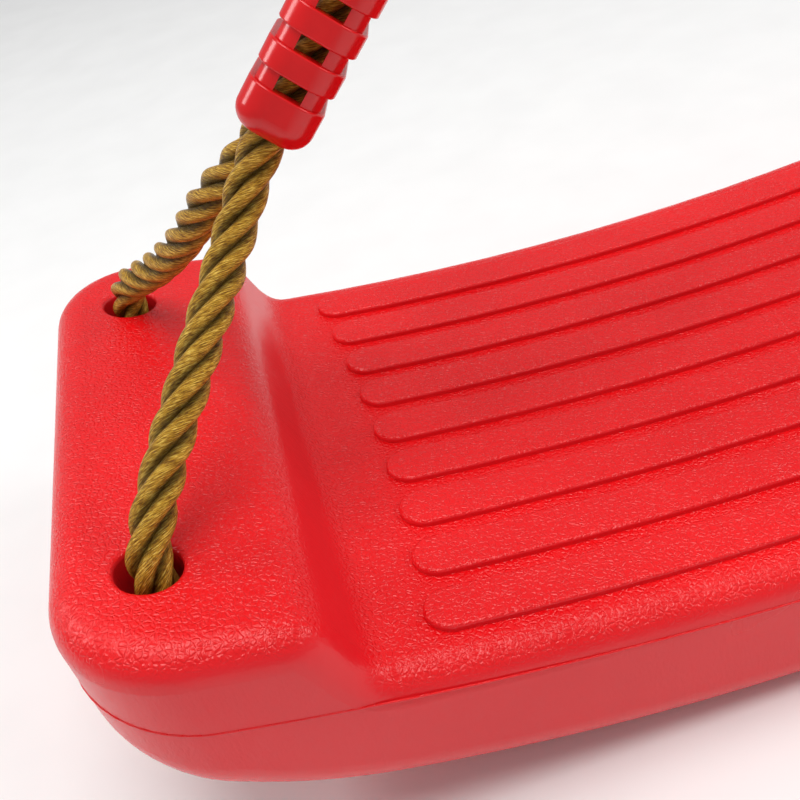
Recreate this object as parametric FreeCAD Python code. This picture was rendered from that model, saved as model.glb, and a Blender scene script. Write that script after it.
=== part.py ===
import FreeCAD
import Part
import math
import os

# Curved board swing seat with raised ends, hung at each end on a doubled rope.
# Millimetres. X runs along the seat, Y across it, Z up; origin under the seat's middle.
# The left side is modelled and the right side is its mirror image in the YZ plane.

Vec = FreeCAD.Vector
X_DIR = Vec(1, 0, 0)
Y_DIR = Vec(0, 1, 0)
Z_DIR = Vec(0, 0, 1)

# ---- seat: a hollow moulding, dished along its length
SEAT_LENGTH = 426.0
SEAT_DEPTH = 170.0
SEAT_THICKNESS = 41.0
DISH_RADIUS = 820.0
UNDERSIDE_FLAT = 30.0
UNDERSIDE_RADIUS = 450.0
UNDERSIDE_END_X = 155.0
END_RADIUS = 116.0
WALL = 3.0
PLAN_CORNER = 28.0
TOP_FILLET = 8.0
BOTTOM_FILLET = 12.0
OUTLINE_SPARE = 5.0
PARTING_DROP = 8.0

# ---- raised end platforms and the steps up to them
HOLE_X = 190.0
HOLE_Y = 56.5
PLATFORM_AT_HOLE = 83.2
PLATFORM_TILT = 13.5
PLATFORM_INNER_X = 164.0
STEP_FOOT_X = 146.0
STEP_HANDLE = 10.5

# ---- rope holes, with a pocket under each for the knot
HOLE_RADIUS = 7.15
HOLE_RIM = 1.2
POCKET_RADIUS = 15.0
POCKET_ROOF_Z = 52.0
POCKET_WALL_RADIUS = 18.0

# ---- grip ribs on the seat
RIB_COUNT = 9
RIB_PITCH = 17.0
RIB_WIDTH = 12.4
RIB_HEIGHT = 1.8
RIB_END_X = 134.0
RIB_END_BOW = 3.5
RIB_ROOT = 1.0
RIB_FILLET = 0.9

# ---- rope
ROPE_RADIUS = 5.0
PIVOT_Z = 89.0
BRIDLE_ANGLE = 45.4
BRIDLE_TWIST = 15.0
LEG_START = 5.3
KNOT_RADIUS = 13.0
KNOT_FOOT_Z = 32.0
FREE_END_Z = 24.0

# ---- ring at the top of each bridle
RING_WIRE = 3.0
RING_RADIUS = 22.0
BIGHT_CENTRE = 203.5

# ---- hand grip: a slotted sleeve over the two strands
GRIP_FOOT = 78.0
GRIP_LENGTH = 90.0
GRIP_NARROW = 15.8
GRIP_BROAD = 27.4
GRIP_CORNER = 5.2
BAND_PROUD = 1.1
BAND_FILLET = 0.5
GRIP_INNER_NARROW = 11.6
GRIP_INNER_BROAD = 22.0
GRIP_INNER_CORNER = 4.0
WINDOW_COUNT = 8
WINDOW_PITCH = 9.3
WINDOW_HEIGHT = 3.7
WINDOW_NARROW = 6.4
WINDOW_BROAD = 20.4
GRIP_END_FILLET = 5.0

# ---- the left bridle's route, in its own leaning frame: across the bridle's
# plane, along Y, and up the bridle from the pivot line
LEFT_ROUTE = [
    (0.0, -56.5, 0.0),
    (1.5, -11.8, 53.5),
    (0.0, -7.4, 64.0),
    (-1.4, -5.1, 75.0),
    (-1.4, -5.1, 186.0),
    (-2.2, -8.2, 196.0),
    (-2.2, -8.2, 212.0),
    (2.2, 8.2, 212.0),
    (2.2, 8.2, 196.0),
    (1.4, 5.1, 186.0),
    (1.4, 5.1, 75.0),
    (0.0, 7.4, 64.0),
    (-1.5, 12.0, 53.0),
    (1.5, 23.5, 35.0),
    (2.0, 39.1, 16.5),
    (0.0, 56.5, 0.0),
]
BIGHT_CORNERS = (6, 7)

# the bridle's frame: its third axis leans inward over the seat
BRIDLE_FRAME = FreeCAD.Placement(Vec(-HOLE_X, 0, PIVOT_Z),
                                 FreeCAD.Rotation(Y_DIR, 90.0 - BRIDLE_ANGLE))
# above the legs, the two strands and what is on them are turned about the bridle's length
TOP_TURN = FreeCAD.Placement(Vec(0, 0, 0), FreeCAD.Rotation(Z_DIR, -BRIDLE_TWIST))


def arc_height(radius, lowest, x):
    """Height at x of an upward-curving arc of this radius, lowest at the middle."""
    return lowest + radius - math.sqrt(radius ** 2 - x ** 2)


def dish_height(x):
    return arc_height(DISH_RADIUS, SEAT_THICKNESS, x)


def platform_height(x):
    return PLATFORM_AT_HOLE + (abs(x) - HOLE_X) * math.tan(math.radians(PLATFORM_TILT))


def step_curve(side, inset):
    """Smooth step from the dished board up to one end platform."""
    foot_x = STEP_FOOT_X + inset
    head_x = PLATFORM_INNER_X + inset
    foot_slope = math.asin(foot_x / (DISH_RADIUS + inset))
    head_slope = math.radians(PLATFORM_TILT)
    foot = Vec(foot_x, 0, arc_height(DISH_RADIUS + inset, SEAT_THICKNESS - inset, foot_x))
    head = Vec(head_x, 0, platform_height(head_x) - inset)
    foot_pull = Vec(math.cos(foot_slope), 0, math.sin(foot_slope)) * STEP_HANDLE
    head_pull = Vec(math.cos(head_slope), 0, math.sin(head_slope)) * STEP_HANDLE
    poles = [foot, foot + foot_pull, head - head_pull, head]
    curve = Part.BezierCurve()
    curve.setPoles([Vec(side * p.x, 0, p.z) for p in poles])
    return curve.toShape()


def long_arc(radius, lowest, end_x):
    ends = [Vec(x, 0, arc_height(radius, lowest, x)) for x in (-end_x, 0, end_x)]
    return Part.Arc(*ends).toShape()


def swept_arc(side, centre, radius, start, end):
    """Arc below this centre, its angles measured out from straight down."""
    turns = (start, (start + end) / 2, end)
    ends = [Vec(side * (centre.x + radius * math.sin(t)), 0, centre.z - radius * math.cos(t)) for t in turns]
    return Part.Arc(*ends).toShape()


def underside_arcs(side, inset, end_x):
    """One half of the underside beyond its flat: a long arc, then a tighter one at the end."""
    centre = Vec(UNDERSIDE_FLAT, 0, UNDERSIDE_RADIUS)
    turn = math.asin((UNDERSIDE_END_X - UNDERSIDE_FLAT) / UNDERSIDE_RADIUS)
    toward = Vec(math.sin(turn), 0, -math.cos(turn))
    end_centre = centre + toward * (UNDERSIDE_RADIUS - END_RADIUS)
    end_turn = math.asin((end_x - end_centre.x) / (END_RADIUS - inset))
    long_part = swept_arc(side, centre, UNDERSIDE_RADIUS - inset, 0, turn)
    return [long_part, swept_arc(side, end_centre, END_RADIUS - inset, turn, end_turn)]


def side_outline(inset):
    """Side outline, drawn in by inset, running out past the seat's ends."""
    end_x = SEAT_LENGTH / 2 + OUTLINE_SPARE
    foot_x = STEP_FOOT_X + inset
    head_x = PLATFORM_INNER_X + inset
    flat = Part.LineSegment(Vec(-UNDERSIDE_FLAT, 0, inset), Vec(UNDERSIDE_FLAT, 0, inset)).toShape()
    edges = [flat, long_arc(DISH_RADIUS + inset, SEAT_THICKNESS - inset, foot_x)]
    for side in (-1, 1):
        top_end = Vec(side * end_x, 0, platform_height(end_x) - inset)
        head = Vec(side * head_x, 0, platform_height(head_x) - inset)
        arcs = underside_arcs(side, inset, end_x)
        bottom_end = max((v.Point for v in arcs[1].Vertexes), key=lambda p: p.z)
        edges.extend(arcs)
        edges.append(step_curve(side, inset))
        edges.append(Part.LineSegment(head, top_end).toShape())
        edges.append(Part.LineSegment(top_end, bottom_end).toShape())
    return Part.Face(Part.Wire(Part.__sortEdges__(edges)))


def rounded_prism(size_x, size_y, corner, z_low, z_high):
    """Upright block with round corners in plan, centred on the Z axis."""
    block = Part.makeBox(size_x, size_y, z_high - z_low, Vec(-size_x / 2, -size_y / 2, z_low))
    upright = [e for e in block.Edges if abs(e.tangentAt(e.FirstParameter).z) > 0.9]
    return block.makeFillet(corner, upright)


def rim_edges(body, top):
    """The edges where the seat's wall meets its top, or its underside."""
    chosen = []
    for edge in body.Edges:
        low = edge.FirstParameter
        middle = edge.valueAt(low + (edge.LastParameter - low) / 2)
        upright = abs(edge.tangentAt(low).z) > 0.99
        across = abs(edge.tangentAt(low).y) > 0.99 and abs(middle.x) < SEAT_LENGTH / 2 - 4
        above = middle.z > dish_height(middle.x) - PARTING_DROP
        if not upright and not across and above == top:
            chosen.append(edge)
    return chosen


def seat_body(inset):
    """Seat with rounded edges, drawn in by inset all round."""
    depth = SEAT_DEPTH - 2 * inset
    outline = side_outline(inset)
    outline.translate(Vec(0, -depth / 2, 0))
    slab = outline.extrude(Vec(0, depth, 0))
    plan = rounded_prism(SEAT_LENGTH - 2 * inset, depth, PLAN_CORNER - inset, -50, 150)
    body = slab.common(plan)
    body = body.makeFillet(TOP_FILLET - inset, rim_edges(body, True))
    return body.makeFillet(BOTTOM_FILLET - inset, rim_edges(body, False))


def rib(y):
    """One raised rib with round ends, following the dished board."""
    end_x = RIB_END_X + RIB_END_BOW * (y / (RIB_PITCH * (RIB_COUNT - 1) / 2)) ** 2
    plan = rounded_prism(2 * end_x, RIB_WIDTH, RIB_WIDTH / 2 - 0.01, 0, 100)
    top = long_arc(DISH_RADIUS - RIB_HEIGHT, SEAT_THICKNESS + RIB_HEIGHT, end_x + 5)
    root = long_arc(DISH_RADIUS + RIB_ROOT, SEAT_THICKNESS - RIB_ROOT, end_x + 5)
    sides = []
    for index in (0, 1):
        sides.append(Part.LineSegment(top.Vertexes[index].Point, root.Vertexes[index].Point).toShape())
    strip = Part.Face(Part.Wire(Part.__sortEdges__([top, root] + sides)))
    strip.translate(Vec(0, -RIB_WIDTH, 0))
    bar = strip.extrude(Vec(0, 2 * RIB_WIDTH, 0)).common(plan)
    centre_z = SEAT_THICKNESS + DISH_RADIUS
    top_edges = []
    for edge in bar.Edges:
        reach = [math.hypot(v.X, v.Z - centre_z) for v in edge.Vertexes]
        if max(reach) < DISH_RADIUS - RIB_HEIGHT + 0.01:
            top_edges.append(edge)
    bar = bar.makeFillet(RIB_FILLET, top_edges)
    bar.translate(Vec(0, y, 0))
    return bar


def hole_centres():
    return [(x, y) for x in (-HOLE_X, HOLE_X) for y in (-HOLE_Y, HOLE_Y)]


def upright(radius, x, y, z_low, z_high):
    return Part.makeCylinder(radius, z_high - z_low, Vec(x, y, z_low))


def seat_shell():
    """Hollow seat: outer skin, ribs, and solid columns round the rope holes."""
    skin = seat_body(0)
    hollow = seat_body(WALL)
    holes = []
    for x, y in hole_centres():
        hollow = hollow.cut(upright(POCKET_WALL_RADIUS, x, y, -50, POCKET_ROOF_Z + WALL))
        hollow = hollow.cut(upright(HOLE_RADIUS + WALL, x, y, -50, 150))
        holes.append(upright(HOLE_RADIUS, x, y, -50, 150))
        holes.append(upright(POCKET_RADIUS, x, y, -50, POCKET_ROOF_Z))
    shell = skin.cut(holes)
    rims = []
    for edge in shell.Edges:
        middle = edge.CenterOfMass
        size = max(edge.BoundBox.XLength, edge.BoundBox.YLength)
        if middle.z > 70 and size < 2 * HOLE_RADIUS + 0.5 and abs(abs(middle.x) - HOLE_X) < 1:
            rims.append(edge)
    shell = shell.makeFillet(HOLE_RIM, rims)
    half = (RIB_COUNT - 1) / 2
    ribs = [rib((index - half) * RIB_PITCH) for index in range(RIB_COUNT)]
    return shell.fuse(ribs).cut(hollow)


def rope_path(points, tight):
    """Straight runs joined by tangent arcs, which fill half their run at the tight points."""
    edges = []
    radii = []
    start = points[0]
    for index in range(1, len(points) - 1):
        corner = points[index]
        back = points[index - 1] - corner
        ahead = points[index + 1] - corner
        turn = math.pi - back.getAngle(ahead)
        shorter = min(back.Length, ahead.Length)
        share = 0.5 if index in tight else 0.45
        radius = share * shorter / math.tan(turn / 2)
        trim = radius * math.tan(turn / 2)
        first = corner + back.normalize() * trim
        last = corner + ahead.normalize() * trim
        inward = (back + ahead).normalize()
        middle = corner + inward * (radius / math.cos(turn / 2) - radius)
        if (first - start).Length > 0.001:
            edges.append(Part.LineSegment(start, first).toShape())
        edges.append(Part.Arc(first, middle, last).toShape())
        start = last
        radii.append(round(radius, 1))
    edges.append(Part.LineSegment(start, points[-1]).toShape())
    return Part.Wire(edges), radii


def rope():
    """Left bridle rope: up from the front pivot, round the ring, down to the rear pivot."""
    points = [Vec(*p) for p in LEFT_ROUTE]
    for end, inner in ((0, 1), (-1, -2)):
        run = points[inner] - points[end]
        points[end] = points[end] + run.normalize() * LEG_START
    wire, radii = rope_path(points, BIGHT_CORNERS)
    start = (points[1] - points[0]).normalize()
    section = Part.Wire(Part.makeCircle(ROPE_RADIUS, points[0], start))
    tube = wire.makePipeShell([section], True, False, 0)
    expected = math.pi * ROPE_RADIUS ** 2 * wire.Length
    print("rope length", round(wire.Length, 1), "radii", radii)
    print("rope volume over section x length", round(tube.Volume / expected, 4))
    return placed(tube, BRIDLE_FRAME)


def placed(shape, frame):
    """Moves a shape from this frame into the seat's frame."""
    moved = shape.copy()
    moved.Placement = frame.multiply(shape.Placement)
    return moved


def grip():
    """Slotted oval sleeve with raised bands and four corner posts."""
    top = GRIP_FOOT + GRIP_LENGTH
    end_band = (GRIP_LENGTH - WINDOW_COUNT * WINDOW_PITCH + WINDOW_PITCH - WINDOW_HEIGHT) / 2
    narrow = GRIP_NARROW + 2 * BAND_PROUD
    broad = GRIP_BROAD + 2 * BAND_PROUD
    body = rounded_prism(GRIP_NARROW, GRIP_BROAD, GRIP_CORNER, GRIP_FOOT + 5, top - 5)
    bands = [(GRIP_FOOT, GRIP_FOOT + end_band), (top - end_band, top)]
    windows = []
    for index in range(WINDOW_COUNT):
        low = GRIP_FOOT + end_band + index * WINDOW_PITCH
        high = low + WINDOW_HEIGHT
        windows.append(Part.makeBox(60, WINDOW_BROAD, WINDOW_HEIGHT, Vec(-30, -WINDOW_BROAD / 2, low)))
        windows.append(Part.makeBox(WINDOW_NARROW, 60, WINDOW_HEIGHT, Vec(-WINDOW_NARROW / 2, -30, low)))
        if index < WINDOW_COUNT - 1:
            bands.append((high, high + WINDOW_PITCH - WINDOW_HEIGHT))
    for low, high in bands:
        band = rounded_prism(narrow, broad, GRIP_CORNER + BAND_PROUD, low, high)
        flat = [e for e in band.Edges if abs(e.tangentAt(e.FirstParameter).z) < 0.1]
        outer = [e for e in flat if abs(e.CenterOfMass.z - (GRIP_FOOT + top) / 2) > GRIP_LENGTH / 2 - 1]
        inner = [e for e in flat if e.hashCode() not in [o.hashCode() for o in outer]]
        band = band.makeFillet(BAND_FILLET, inner)
        if outer:
            ends = [e for e in band.Edges if e.CenterOfMass.z < GRIP_FOOT + 0.01
                    or e.CenterOfMass.z > top - 0.01]
            band = band.makeFillet(GRIP_END_FILLET, ends)
        body = body.fuse(band)
    bore = rounded_prism(GRIP_INNER_NARROW, GRIP_INNER_BROAD, GRIP_INNER_CORNER, 0, 300)
    return placed(body.cut([bore] + windows), BRIDLE_FRAME.multiply(TOP_TURN))


def ring():
    """Round steel ring that the rope's bight hangs on."""
    centre = Vec(0, 0, BIGHT_CENTRE + RING_RADIUS)
    return placed(Part.makeTorus(RING_RADIUS, RING_WIRE, centre, Y_DIR), BRIDLE_FRAME.multiply(TOP_TURN))


def tail(y):
    """Rope inside one hole, up to the point where the leg bends over."""
    stem = upright(ROPE_RADIUS, -HOLE_X, y, POCKET_ROOF_Z, PIVOT_Z)
    return stem.fuse(Part.makeSphere(ROPE_RADIUS, Vec(-HOLE_X, y, PIVOT_Z))).removeSplitter()


def knot(y):
    """Outer shape of the knot under one hole, with the rope's cut end below it."""
    middle = (POCKET_ROOF_Z + KNOT_FOOT_Z) / 2
    ball = Part.makeSphere(KNOT_RADIUS, Vec(-HOLE_X, y, middle))
    ball = ball.common(upright(2 * KNOT_RADIUS, -HOLE_X, y, KNOT_FOOT_Z, POCKET_ROOF_Z))
    return ball.fuse(upright(ROPE_RADIUS, -HOLE_X, y, FREE_END_Z, middle)).removeSplitter()


def main():
    os.makedirs("parts", exist_ok=True)
    left = {"grip": grip(), "ring": ring(), "rope": rope()}
    for end, y in (("front", -HOLE_Y), ("rear", HOLE_Y)):
        left[end + "_tail"] = tail(y)
        left[end + "_knot"] = knot(y)
    nodes = {"seat_shell": seat_shell()}
    for name, shape in left.items():
        nodes["left_" + name] = shape
        nodes["right_" + name] = shape.mirror(Vec(0, 0, 0), X_DIR)
    for name, shape in nodes.items():
        print(name, "valid", shape.isValid(), "solids", len(shape.Solids), "volume", round(shape.Volume))
        shape.exportStep("parts/" + name + ".step")


main()
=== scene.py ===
import math

import bpy
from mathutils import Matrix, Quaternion, Vector


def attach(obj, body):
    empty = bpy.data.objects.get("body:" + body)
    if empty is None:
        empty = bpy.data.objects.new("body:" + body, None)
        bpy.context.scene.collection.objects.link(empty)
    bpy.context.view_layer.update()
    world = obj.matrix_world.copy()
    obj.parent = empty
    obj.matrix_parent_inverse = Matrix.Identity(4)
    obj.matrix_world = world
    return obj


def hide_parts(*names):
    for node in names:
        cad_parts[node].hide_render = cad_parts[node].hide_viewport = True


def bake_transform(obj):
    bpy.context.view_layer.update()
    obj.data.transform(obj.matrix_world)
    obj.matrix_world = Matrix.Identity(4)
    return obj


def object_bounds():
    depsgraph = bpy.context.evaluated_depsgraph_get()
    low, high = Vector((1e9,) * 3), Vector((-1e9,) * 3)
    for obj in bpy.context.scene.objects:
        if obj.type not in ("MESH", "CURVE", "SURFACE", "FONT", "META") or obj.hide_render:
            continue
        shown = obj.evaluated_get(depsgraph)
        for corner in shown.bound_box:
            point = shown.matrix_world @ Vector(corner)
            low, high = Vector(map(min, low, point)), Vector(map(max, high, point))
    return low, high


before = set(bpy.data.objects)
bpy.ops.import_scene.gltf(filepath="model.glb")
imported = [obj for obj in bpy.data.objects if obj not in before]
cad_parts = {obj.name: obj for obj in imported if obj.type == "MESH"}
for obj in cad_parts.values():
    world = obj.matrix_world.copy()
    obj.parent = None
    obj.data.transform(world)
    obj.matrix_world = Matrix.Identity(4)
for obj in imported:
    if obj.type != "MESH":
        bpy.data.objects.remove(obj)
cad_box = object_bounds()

# Metres, in the frame of the CAD model: X along the seat, Y across it, Z up.
SEAT_LENGTH = 0.426
SEAT_DEPTH = 0.170
PLAN_CORNER = 0.028
HOLE_X = 0.190
HOLE_Y = 0.0565
PIVOT_Z = 0.089
POCKET_ROOF_Z = 0.052
BRIDLE_ANGLE = math.radians(45.4)
ROPE_DIAMETER = 0.010
SIDES = {"left": 1, "right": -1}

# ---------------------------------------------------------------- camera

CAMERA_PLACE = (-0.139, -0.2274, 0.237)
CAMERA_AIM = (0.0499, 0.7885, -0.6130)
CAMERA_ROLL = math.radians(-16.5)
LENS_MM = 48.0
SENSOR_MM = 36.0

def add_camera():
    data = bpy.data.cameras.new("camera")
    data.lens = LENS_MM
    data.sensor_width = SENSOR_MM
    data.clip_start = 0.01
    camera = bpy.data.objects.new("camera", data)
    bpy.context.scene.collection.objects.link(camera)
    camera.rotation_mode = "QUATERNION"
    camera.location = CAMERA_PLACE
    aim = Vector(CAMERA_AIM).to_track_quat("-Z", "Y")
    roll = Quaternion((0, 0, 1), CAMERA_ROLL)
    camera.rotation_quaternion = aim @ roll
    bpy.context.scene.camera = camera


# ---------------------------------------------------------------- node helpers


def new_material(name):
    material = bpy.data.materials.new(name)
    material.use_nodes = True
    tree = material.node_tree
    return material, tree, tree.nodes["Principled BSDF"]


def node(tree, kind, **values):
    """A shader node, with sockets set by name and settings by attribute."""
    made = tree.nodes.new(kind)
    for key, value in values.items():
        if hasattr(made, key):
            setattr(made, key, value)
        else:
            made.inputs[key.replace("_", " ")].default_value = value
    return made


def link(tree, source, target):
    tree.links.new(source, target)


def scaled(tree, vector, factors):
    """A vector with each part multiplied by its own factor."""
    step = node(tree, "ShaderNodeVectorMath", operation="MULTIPLY")
    step.inputs[1].default_value = factors
    link(tree, vector, step.inputs[0])
    return step.outputs[0]


def math_step(tree, operation, first, second):
    """One arithmetic node; either input is a socket or a number."""
    step = node(tree, "ShaderNodeMath", operation=operation)
    for index, value in enumerate((first, second)):
        if isinstance(value, (int, float)):
            step.inputs[index].default_value = value
        else:
            link(tree, value, step.inputs[index])
    return step.outputs[0]


def ramp(tree, value, stops):
    """A colour ramp from (position, colour) pairs."""
    made = tree.nodes.new("ShaderNodeValToRGB")
    elements = made.color_ramp.elements
    while len(elements) < len(stops):
        elements.new(0.5)
    for element, (position, colour) in zip(elements, stops):
        element.position = position
        element.color = (*colour, 1.0)
    link(tree, value, made.inputs["Fac"])
    return made.outputs["Color"]


def grey(level):
    return (level, level, level)


def smooth_range(tree, value, low, high):
    """0 below low, 1 above high, smooth between."""
    made = node(tree, "ShaderNodeMapRange", interpolation_type="SMOOTHSTEP")
    made.inputs["From Min"].default_value = low
    made.inputs["From Max"].default_value = high
    link(tree, value, made.inputs["Value"])
    return made.outputs["Result"]


def translucent(shader, weight, radius):
    """Light let a little way into the plastic; radius is for red, green and blue."""
    shader.inputs["Subsurface Weight"].default_value = weight
    shader.inputs["Subsurface Radius"].default_value = radius
    shader.inputs["Subsurface Scale"].default_value = 1.0


def bump(tree, height, distance, strength, normal=None):
    made = node(tree, "ShaderNodeBump", Distance=distance, Strength=strength)
    link(tree, height, made.inputs["Height"])
    if normal is not None:
        link(tree, normal, made.inputs["Normal"])
    return made.outputs["Normal"]


# ---------------------------------------------------------------- materials


def leather_grain(tree, position):
    """Height of a moulded leather grain: short worm-like ridges about 1 mm apart."""
    warp = node(tree, "ShaderNodeTexNoise", Scale=420.0, Detail=2.0)
    link(tree, position, warp.inputs["Vector"])
    shift = scaled(tree, warp.outputs["Color"], (0.0016, 0.0016, 0.0016))
    moved = node(tree, "ShaderNodeVectorMath", operation="ADD")
    link(tree, position, moved.inputs[0])
    link(tree, shift, moved.inputs[1])
    cells = node(tree, "ShaderNodeTexVoronoi", feature="DISTANCE_TO_EDGE", Scale=720.0)
    link(tree, moved.outputs[0], cells.inputs["Vector"])
    ridges = smooth_range(tree, cells.outputs["Distance"], 0.02, 0.26)
    worms = node(tree, "ShaderNodeTexNoise", Scale=900.0, Detail=3.0, Roughness=0.6)
    link(tree, moved.outputs[0], worms.inputs["Vector"])
    return math_step(tree, "ADD", math_step(tree, "MULTIPLY", ridges, 0.65), worms.outputs["Fac"])


def wall_scuffs(tree, position):
    """Height of the finer pits and upright drag marks of the mould on the walls."""
    pits = node(tree, "ShaderNodeTexNoise", Scale=1500.0, Detail=3.0)
    link(tree, scaled(tree, position, (1.0, 1.0, 0.45)), pits.inputs["Vector"])
    drags = node(tree, "ShaderNodeTexNoise", Scale=300.0, Detail=4.0)
    link(tree, scaled(tree, position, (1.0, 1.0, 0.12)), drags.inputs["Vector"])
    return math_step(tree, "ADD", pits.outputs["Fac"], drags.outputs["Fac"])


def seat_plastic():
    """Bright red moulded polyethylene, grained on top and finer on the walls, which carry a painted pale
    sheen.
    """
    material, tree, shader = new_material("seat_plastic")
    geometry = node(tree, "ShaderNodeNewGeometry")
    split = node(tree, "ShaderNodeSeparateXYZ")
    link(tree, geometry.outputs["Normal"], split.inputs[0])
    upward = smooth_range(tree, split.outputs["Z"], 0.35, 0.8)
    position = geometry.outputs["Position"]
    grain = leather_grain(tree, position)
    scuffs = wall_scuffs(tree, position)
    top_normal = bump(tree, math_step(tree, "MULTIPLY", grain, upward), 0.00028, 0.75)
    on_wall = math_step(tree, "SUBTRACT", 1.0, upward)
    normal = bump(tree, math_step(tree, "MULTIPLY", scuffs, on_wall), 0.00016, 0.55, top_normal)
    link(tree, normal, shader.inputs["Normal"])
    cloud = node(tree, "ShaderNodeTexNoise", Scale=22.0, Detail=4.0)
    link(tree, position, cloud.inputs["Vector"])
    colour = ramp(tree, cloud.outputs["Fac"], [(0.3, (0.76, 0.003, 0.006)), (0.7, (0.86, 0.005, 0.008))])
    # painted sheen: the walls, picked by their normals, are mixed part way towards a paler pink that stands
    # in for the soft reflection of the room's light
    wall_painted_sheen = node(tree, "ShaderNodeMix", data_type="RGBA")
    link(tree, math_step(tree, "MULTIPLY", on_wall, 0.45), wall_painted_sheen.inputs[0])
    link(tree, colour, wall_painted_sheen.inputs[6])
    wall_painted_sheen.inputs[7].default_value = (0.72, 0.022, 0.032, 1.0)
    link(tree, wall_painted_sheen.outputs[2], shader.inputs["Base Color"])
    rough = ramp(tree, cloud.outputs["Fac"], [(0.2, grey(0.21)), (0.8, grey(0.30))])
    link(tree, rough, shader.inputs["Roughness"])
    shader.inputs["Specular IOR Level"].default_value = 0.45
    translucent(shader, 0.06, (0.004, 0.0006, 0.0004))
    return material


def grip_plastic():
    """Smooth glossy red with faint flow marks."""
    material, tree, shader = new_material("grip_plastic")
    place = node(tree, "ShaderNodeTexCoord")
    flow = node(tree, "ShaderNodeTexNoise", Scale=60.0, Detail=3.0)
    link(tree, place.outputs["Object"], flow.inputs["Vector"])
    colour = ramp(tree, flow.outputs["Fac"], [(0.3, (0.62, 0.003, 0.005)), (0.7, (0.74, 0.005, 0.007))])
    link(tree, colour, shader.inputs["Base Color"])
    rough = ramp(tree, flow.outputs["Fac"], [(0.3, grey(0.16)), (0.7, grey(0.24))])
    link(tree, rough, shader.inputs["Roughness"])
    link(tree, bump(tree, flow.outputs["Fac"], 0.0006, 0.15), shader.inputs["Normal"])
    translucent(shader, 0.05, (0.003, 0.0005, 0.0003))
    return material


def rope_fibre():
    """Gold-tan twisted film yarn, with painted shade darkening it between its strands.

    The fibre UV runs across and along the fibres; crest is 0 inside the rope and 1 outside.
    """
    material, tree, shader = new_material("rope_fibre")
    uv = node(tree, "ShaderNodeUVMap", uv_map="fibre")
    coarse = node(tree, "ShaderNodeTexNoise", Scale=1.0, Detail=3.0, Roughness=0.6)
    link(tree, scaled(tree, uv.outputs[0], (34.0, 55.0, 1.0)), coarse.inputs["Vector"])
    fine = node(tree, "ShaderNodeTexNoise", Scale=1.0, Detail=2.0)
    link(tree, scaled(tree, uv.outputs[0], (110.0, 130.0, 1.0)), fine.inputs["Vector"])
    mixed = math_step(tree, "ADD", math_step(tree, "MULTIPLY", coarse.outputs["Fac"], 0.6),
                      math_step(tree, "MULTIPLY", fine.outputs["Fac"], 0.4))
    stops = [(0.41, (0.150, 0.052, 0.003)), (0.48, (0.42, 0.200, 0.014)),
             (0.54, (0.66, 0.360, 0.032)), (0.61, (0.98, 0.70, 0.150))]
    crest = node(tree, "ShaderNodeUVMap", uv_map="crest")
    split = node(tree, "ShaderNodeSeparateXYZ")
    link(tree, crest.outputs[0], split.inputs[0])
    # painted shade in the grooves between strands: they keep a little over a quarter of the crests' colour
    raised = smooth_range(tree, split.outputs["X"], 0.46, 0.92)
    lit = math_step(tree, "ADD", math_step(tree, "MULTIPLY", raised, 0.72), 0.28)
    shaded = node(tree, "ShaderNodeVectorMath", operation="SCALE")
    link(tree, ramp(tree, mixed, stops), shaded.inputs[0])
    link(tree, lit, shaded.inputs["Scale"])
    link(tree, shaded.outputs[0], shader.inputs["Base Color"])
    link(tree, bump(tree, mixed, 0.00060, 1.0), shader.inputs["Normal"])
    rough = ramp(tree, fine.outputs["Fac"], [(0.35, grey(0.42)), (0.65, grey(0.20))])
    link(tree, rough, shader.inputs["Roughness"])
    shader.inputs["Specular IOR Level"].default_value = 0.45
    shader.inputs["Specular Tint"].default_value = (1.0, 0.82, 0.48, 1.0)
    shader.inputs["Anisotropic"].default_value = 0.5
    return material


def ring_steel():
    """Zinc-plated wire, dull and lightly mottled."""
    material, tree, shader = new_material("ring_steel")
    place = node(tree, "ShaderNodeTexCoord")
    mottle = node(tree, "ShaderNodeTexNoise", Scale=240.0, Detail=5.0)
    link(tree, place.outputs["Object"], mottle.inputs["Vector"])
    colour = ramp(tree, mottle.outputs["Fac"], [(0.3, grey(0.48)), (0.7, grey(0.70))])
    link(tree, colour, shader.inputs["Base Color"])
    rough = ramp(tree, mottle.outputs["Fac"], [(0.3, grey(0.38)), (0.7, grey(0.24))])
    link(tree, rough, shader.inputs["Roughness"])
    link(tree, bump(tree, mottle.outputs["Fac"], 0.0001, 0.4), shader.inputs["Normal"])
    shader.inputs["Metallic"].default_value = 1.0
    return material


def floor_paper():
    material, tree, shader = new_material("floor_paper")
    place = node(tree, "ShaderNodeTexCoord")
    fleck = node(tree, "ShaderNodeTexNoise", Scale=30.0, Detail=2.0)
    link(tree, place.outputs["Object"], fleck.inputs["Vector"])
    stops = [(0.3, (0.90, 0.90, 0.895)), (0.7, (0.93, 0.93, 0.925))]
    link(tree, ramp(tree, fleck.outputs["Fac"], stops), shader.inputs["Base Color"])
    shader.inputs["Roughness"].default_value = 0.7
    return material


# ---------------------------------------------------------------- ropes

STRANDS = 4
LAY = 0.037
# each strand's place and oval section, as shares of the rope's thickness
STRAND_CENTRE = 0.275
STRAND_RADIAL = 0.225
STRAND_SIDE = 0.205
STRAND_SIDES = 18
RING_STEP = 0.0009
# turns of a strand's fibres about it in one lay
FIBRE_TURN = 1.33

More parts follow.
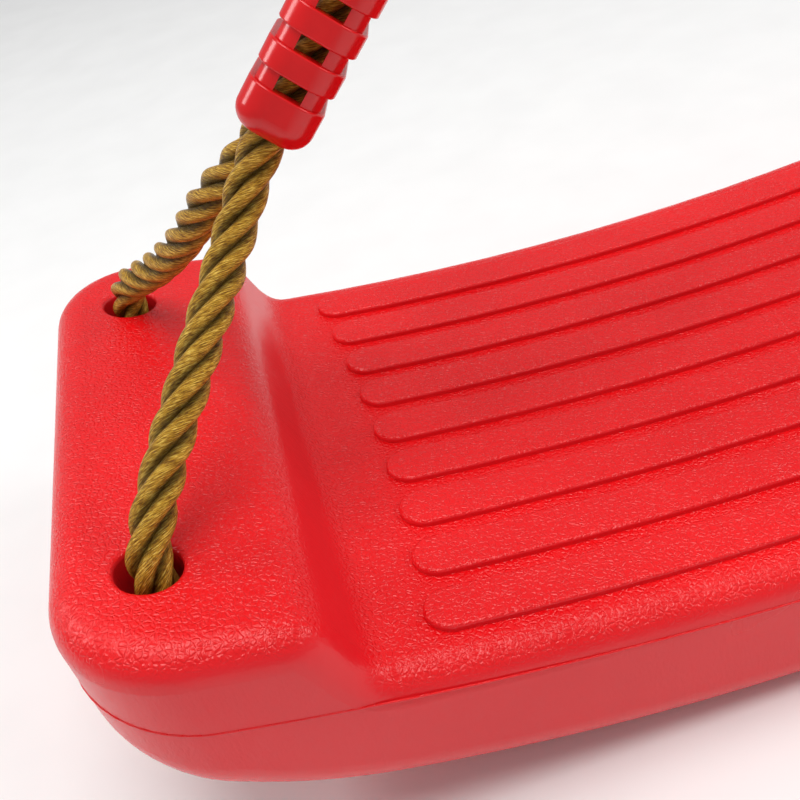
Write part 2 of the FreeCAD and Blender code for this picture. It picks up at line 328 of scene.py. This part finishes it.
# One bridle's route, in its own leaning frame: across the bridle's plane, along Y,
# and up the bridle from the pivot line.
LEFT_ROUTE = [
    (0.0000, -0.0565, 0.0000),
    (0.0015, -0.0118, 0.0535),
    (0.0000, -0.0074, 0.0640),
    (-0.0014, -0.0051, 0.0750),
    (-0.0014, -0.0051, 0.1860),
    (-0.0022, -0.0082, 0.1960),
    (-0.0022, -0.0082, 0.2120),
    (0.0022, 0.0082, 0.2120),
    (0.0022, 0.0082, 0.1960),
    (0.0014, 0.0051, 0.1860),
    (0.0014, 0.0051, 0.0750),
    (0.0000, 0.0074, 0.0640),
    (-0.0015, 0.0120, 0.0530),
    (0.0015, 0.0235, 0.0350),
    (0.0020, 0.0391, 0.0165),
    (0.0000, 0.0565, 0.0000),
]
# inside a hole, from the pocket's roof up to the pivot
HOLE_ROUTE_Z = [POCKET_ROOF_Z, 0.070]


def bridle_point(side, across, y, up):
    """A point of a bridle's leaning frame, in the frame of the model."""
    x = -HOLE_X + up * math.cos(BRIDLE_ANGLE) + across * math.sin(BRIDLE_ANGLE)
    z = PIVOT_Z + up * math.sin(BRIDLE_ANGLE) - across * math.cos(BRIDLE_ANGLE)
    return Vector((SIDES[side] * x, y, z))


def spline_points(name, controls):
    """Points along a NURBS curve that has these control points."""
    data = bpy.data.curves.new(name, "CURVE")
    data.dimensions = "3D"
    spline = data.splines.new("NURBS")
    spline.points.add(len(controls) - 1)
    for point, place in zip(spline.points, controls):
        point.co = (*place, 1.0)
    spline.order_u = 3
    spline.use_endpoint_u = True
    spline.resolution_u = 24
    holder = bpy.data.objects.new(name, data)
    mesh = bpy.data.meshes.new_from_object(holder)
    points = [vertex.co.copy() for vertex in mesh.vertices]
    bpy.data.objects.remove(holder)
    bpy.data.meshes.remove(mesh)
    bpy.data.curves.remove(data)
    return points


def evenly(points, step):
    """The same line with its points about one step apart, and the distance to each."""
    lengths = [0.0]
    for first, second in zip(points, points[1:]):
        lengths.append(lengths[-1] + (second - first).length)
    count = max(2, round(lengths[-1] / step))
    line = []
    index = 0
    for number in range(count + 1):
        target = lengths[-1] * number / count
        while index < len(lengths) - 2 and lengths[index + 1] < target:
            index += 1
        span = max(lengths[index + 1] - lengths[index], 1e-9)
        line.append(points[index].lerp(points[index + 1], (target - lengths[index]) / span))
    return line, lengths[-1] / count


def carried_frames(line):
    """Tangent and two cross directions at each point, turned as little as possible."""
    tangents = []
    for index in range(len(line)):
        before = line[max(index - 1, 0)]
        after = line[min(index + 1, len(line) - 1)]
        tangents.append((after - before).normalized())
    first = tangents[0].orthogonal().normalized()
    frames = []
    for index, tangent in enumerate(tangents):
        if index:
            turn = tangents[index - 1].rotation_difference(tangent)
            first = (turn @ first).normalized()
        frames.append((tangent, first, tangent.cross(first)))
    return frames


def twisted_rope(name, points, diameter, hand):
    """Mesh of laid strands that follow points; hand is 1 or -1, the way they twist."""
    line, step = evenly(points, RING_STEP)
    frames = carried_frames(line)
    vertices = []
    faces = []
    fibre = []
    crest = []
    for strand in range(STRANDS):
        base = len(vertices)
        for ring, (place, frame_here) in enumerate(zip(line, frames)):
            distance = ring * step
            wobble = 0.05 * math.sin(distance * 310 + strand * 1.9)
            wobble += 0.03 * math.sin(distance * 97 + strand)
            angle = hand * math.tau * distance / LAY + math.tau * strand / STRANDS + wobble
            swell = 1.0 + 0.03 * math.sin(distance * 450 + strand * 2.3)
            outward = frame_here[1] * math.cos(angle) + frame_here[2] * math.sin(angle)
            sideways = frame_here[0].cross(outward)
            centre = place + outward * diameter * STRAND_CENTRE
            for corner in range(STRAND_SIDES):
                around = math.tau * corner / STRAND_SIDES
                out = -math.cos(around) * STRAND_RADIAL * diameter * swell
                side = math.sin(around) * STRAND_SIDE * diameter * swell
                vertices.append(centre + outward * out + sideways * side)
        for ring in range(len(line) - 1):
            for corner in range(STRAND_SIDES):
                after = (corner + 1) % STRAND_SIDES
                low = base + ring * STRAND_SIDES
                high = low + STRAND_SIDES
                faces.append((low + corner, low + after, high + after, high + corner))
                for extra, rise in ((0, 0), (1, 0), (1, 1), (0, 1)):
                    distance = (ring + rise) * step
                    turn = (corner + extra) / STRAND_SIDES + hand * FIBRE_TURN * distance / LAY
                    fibre.append((turn + 7.3 * strand, distance * 10))
                    # crest runs from 0 on a strand's inner side to 1 on its outer side; the rope material
                    # paints shade in the grooves by it
                    around = math.tau * (corner + extra) / STRAND_SIDES
                    crest.append((0.5 - 0.5 * math.cos(around), 0.0))
        for start, order in ((base, -1), (base + (len(line) - 1) * STRAND_SIDES, 1)):
            faces.append(tuple(range(start, start + STRAND_SIDES))[::order])
            fibre.extend([(0.1 * corner, 0.0) for corner in range(STRAND_SIDES)])
            crest.extend([(1.0, 0.0)] * STRAND_SIDES)
    mesh = bpy.data.meshes.new(name)
    mesh.from_pydata(vertices, [], faces)
    for layer_name, pairs in (("fibre", fibre), ("crest", crest)):
        layer = mesh.uv_layers.new(name=layer_name)
        layer.data.foreach_set("uv", [value for pair in pairs for value in pair])
    mesh.shade_smooth()
    mesh.update()
    made = bpy.data.objects.new(name, mesh)
    bpy.context.scene.collection.objects.link(made)
    return made


# An overhand knot's centreline, opened at the outer lobe that faces its rope.
KNOT_SPREAD = 0.0031
KNOT_RISE = 0.0048
KNOT_THICKNESS = 0.0080
KNOT_MIDDLE_Z = 0.0415
KNOT_STEPS = 24
CUT_END_Z = 0.0245


def knot_points(side, y):
    """Overhand knot under a hole: a trefoil opened at one lobe, ends led up and down."""
    centre = Vector((-SIDES[side] * HOLE_X, y, KNOT_MIDDLE_Z))
    loop = []
    for step in range(2, KNOT_STEPS - 1):
        turn = math.tau * step / KNOT_STEPS
        x = math.sin(turn) + 2 * math.sin(2 * turn)
        across = math.cos(turn) - 2 * math.cos(2 * turn)
        loop.append(centre + Vector((x * KNOT_SPREAD, across * KNOT_SPREAD, -math.sin(3 * turn) * KNOT_RISE)))
    top = Vector((centre.x, y, POCKET_ROOF_Z))
    foot = Vector((centre.x + 0.002, y - 0.003, CUT_END_Z))
    return [top, top + Vector((0.0005, 0, -0.003))] + loop + [foot + Vector((0, 0, 0.004)), foot]


def add_ropes(material):
    for side in SIDES:
        route = [bridle_point(side, *point) for point in LEFT_ROUTE]
        holes = {-1: [], 1: []}
        for end in holes:
            holes[end] = [Vector((-SIDES[side] * HOLE_X, end * HOLE_Y, z)) for z in HOLE_ROUTE_Z]
        controls = holes[-1] + route + holes[1][::-1]
        points = spline_points(side + "_route", controls)
        rope = twisted_rope(side + "_twisted_rope", points, ROPE_DIAMETER, 1)
        rope.data.materials.append(material)
        tails = []
        for end, y in (("front", -HOLE_Y), ("rear", HOLE_Y)):
            line = spline_points(side + end, knot_points(side, y))
            tied = twisted_rope(f"{side}_{end}_overhand_knot", line, KNOT_THICKNESS, 1)
            tied.data.materials.append(material)
            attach(tied, "seat")
            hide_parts(f"{side}_{end}_knot")
            tails.append(f"{side}_{end}_tail")
        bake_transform(rope)
        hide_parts(side + "_rope", *tails)


# ---------------------------------------------------------------- seat details

# the mould line's own arc along the seat, and its height at the seat's middle
PARTING_RADIUS = 0.675
PARTING_LOW = 0.0331
BEAD_RADIUS = 0.00040
BEAD_SIDES = 8
BEAD_STEP = 0.003


def plan_outline():
    """Points round the seat's outline in plan, with the outward direction at each."""
    half_x = SEAT_LENGTH / 2 - PLAN_CORNER
    half_y = SEAT_DEPTH / 2 - PLAN_CORNER
    points = []
    for quarter, (sign_x, sign_y) in enumerate(((1, 1), (-1, 1), (-1, -1), (1, -1))):
        for step in range(13):
            angle = math.tau * (quarter + step / 12) / 4
            out = Vector((math.cos(angle), math.sin(angle), 0))
            corner = Vector((sign_x * half_x, sign_y * half_y, 0))
            points.append((corner + out * PLAN_CORNER, out))
    return points


def add_parting_bead(material):
    """Thin bead where the two halves of the mould met, all round the wall."""
    outline = plan_outline()
    stations = []
    for (place, out), (ahead, out_ahead) in zip(outline, outline[1:] + outline[:1]):
        pieces = max(1, round((ahead - place).length / BEAD_STEP))
        for piece in range(pieces):
            share = piece / pieces
            stations.append((place.lerp(ahead, share), out.lerp(out_ahead, share).normalized()))
    vertices = []
    for place, out in stations:
        z = PARTING_LOW + PARTING_RADIUS - math.sqrt(PARTING_RADIUS ** 2 - place.x ** 2)
        for corner in range(BEAD_SIDES):
            angle = math.tau * corner / BEAD_SIDES
            reach = out * math.cos(angle) * BEAD_RADIUS * 0.7
            rise = Vector((0, 0, math.sin(angle) * BEAD_RADIUS))
            vertices.append(Vector((place.x, place.y, z)) + reach + rise)
    faces = []
    for index in range(len(stations)):
        low = index * BEAD_SIDES
        high = (index + 1) % len(stations) * BEAD_SIDES
        for corner in range(BEAD_SIDES):
            after = (corner + 1) % BEAD_SIDES
            faces.append((low + corner, high + corner, high + after, low + after))
    mesh = bpy.data.meshes.new("seat_parting_bead")
    mesh.from_pydata(vertices, [], faces)
    mesh.shade_smooth()
    mesh.materials.append(material)
    bead = bpy.data.objects.new("seat_parting_bead", mesh)
    bpy.context.scene.collection.objects.link(bead)
    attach(bead, "seat")


def paint(name, material):
    """Gives a CAD node its material."""
    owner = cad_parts[name]
    owner.data.materials.clear()
    owner.data.materials.append(material)


# ---------------------------------------------------------------- studio

FLOOR_HALF = 3.0
WORLD_STRENGTH = 0.40
# name, place, target, size, power, colour
LIGHTS = [
    ("key", (-0.15, -0.10, 1.2), (-0.05, 0.0, 0.05), 0.9, 8.6, (1.0, 0.99, 0.97)),
    ("side", (-1.0, 0.30, 0.8), (-0.1, 0.0, 0.05), 0.4, 3.0, (1.0, 1.0, 1.0)),
    ("fill", (0.95, -0.15, 0.75), (-0.15, 0.0, 0.05), 0.45, 3.7, (1.0, 1.0, 1.0)),
]

def add_floor(material):
    mesh = bpy.data.meshes.new("floor")
    low = cad_box[0][2]
    corners = [(x * FLOOR_HALF, y * FLOOR_HALF, low) for x, y in ((-1, -1), (1, -1), (1, 1), (-1, 1))]
    mesh.from_pydata(corners, [], [(0, 1, 2, 3)])
    mesh.materials.append(material)
    floor = bpy.data.objects.new("floor", mesh)
    bpy.context.scene.collection.objects.link(floor)


def add_light(name, place, target, size, power, colour):
    data = bpy.data.lights.new(name, "AREA")
    data.shape = "DISK"
    data.size = size
    data.energy = power
    data.color = colour
    lamp = bpy.data.objects.new(name, data)
    lamp.location = place
    aim = (Vector(target) - Vector(place)).to_track_quat("-Z", "Y")
    lamp.rotation_mode = "QUATERNION"
    lamp.rotation_quaternion = aim
    bpy.context.scene.collection.objects.link(lamp)


def add_studio():
    world = bpy.data.worlds.new("studio")
    bpy.context.scene.world = world
    world.use_nodes = True
    background = world.node_tree.nodes["Background"]
    background.inputs["Color"].default_value = (0.97, 0.98, 1.0, 1.0)
    background.inputs["Strength"].default_value = WORLD_STRENGTH
    for light in LIGHTS:
        add_light(*light)
    bpy.context.scene.view_settings.view_transform = "Standard"


# ---------------------------------------------------------------- assembly


def main():
    add_camera()
    add_ropes(rope_fibre())
    red = seat_plastic()
    glossy = grip_plastic()
    steel = ring_steel()
    paint("seat_shell", red)
    add_parting_bead(red)
    for side in SIDES:
        paint(side + "_grip", glossy)
        paint(side + "_ring", steel)
    add_floor(floor_paper())
    add_studio()


main()
